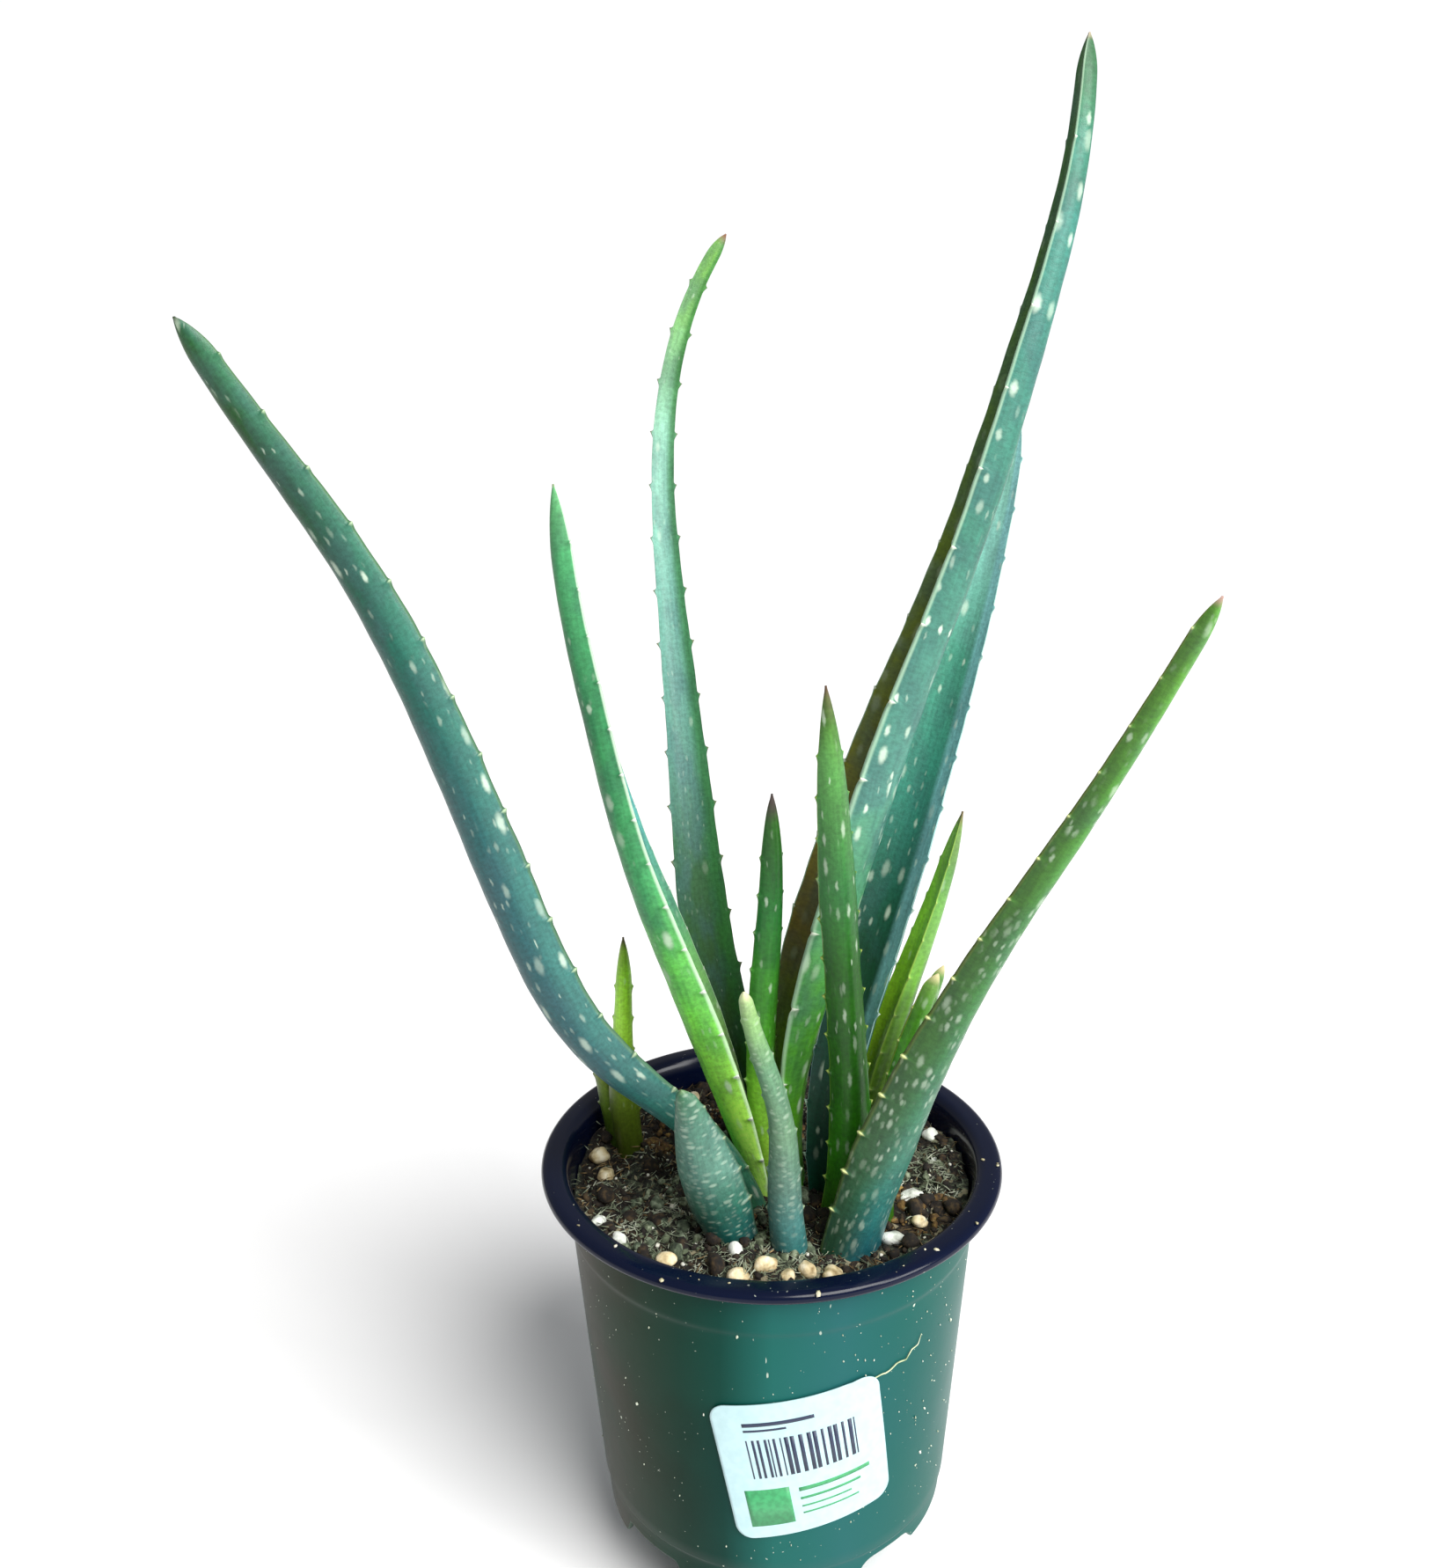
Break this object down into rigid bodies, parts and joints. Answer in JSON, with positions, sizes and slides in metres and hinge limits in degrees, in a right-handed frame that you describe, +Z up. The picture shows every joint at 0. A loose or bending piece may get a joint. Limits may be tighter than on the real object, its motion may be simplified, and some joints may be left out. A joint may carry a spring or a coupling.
{
  "type": "potted aloe vera",
  "caption": "Young aloe with long curved, tooth-edged fleshy leaves, standing in soil in a round tapered nursery pot with a rolled rim and arched feet.",
  "frame": {"origin": "centre of the flat disc in the middle of the pot's underside, on the surface that the pot stands on", "axes": "+Z up along the pot's axis; -Y is the front, the side with the sticker; +X is to the right as seen from the front"},
  "size_m": [0.187, 0.1215, 0.3489],
  "materials": {
    "pot_green": "dark green thin plastic with a soft shine; near-black inside and on the rim",
    "label_paper": "pale satin sticker",
    "soil_peat": "rough dark peat with pale pebbles",
    "leaf_green": "satin green leaf skin",
    "leaf_blue_green": "satin blue-green leaf skin with a pale bloom",
    "leaf_grey_green": "dull grey-green, flecked older leaf"
  },
  "bodies": {
    "root": {"pot": "pot_green", "label": "label_paper", "soil": "soil_peat", "leaf_left_arch": "leaf_blue_green", "leaf_left_upright": "leaf_green", "leaf_back": "leaf_green", "leaf_tall": "leaf_blue_green", "leaf_right_back": "leaf_blue_green", "leaf_right_front": "leaf_green", "leaf_front_centre": "leaf_green", "leaf_centre": "leaf_green", "leaf_small_right": "leaf_green", "offset_leaf_front": "leaf_green", "offset_leaf_back": "leaf_green", "leaf_stub_left": "leaf_grey_green", "leaf_stub_front": "leaf_grey_green", "pup_leaf_tall": "leaf_green", "pup_leaf_short": "leaf_green"}
  },
  "joints": []
}
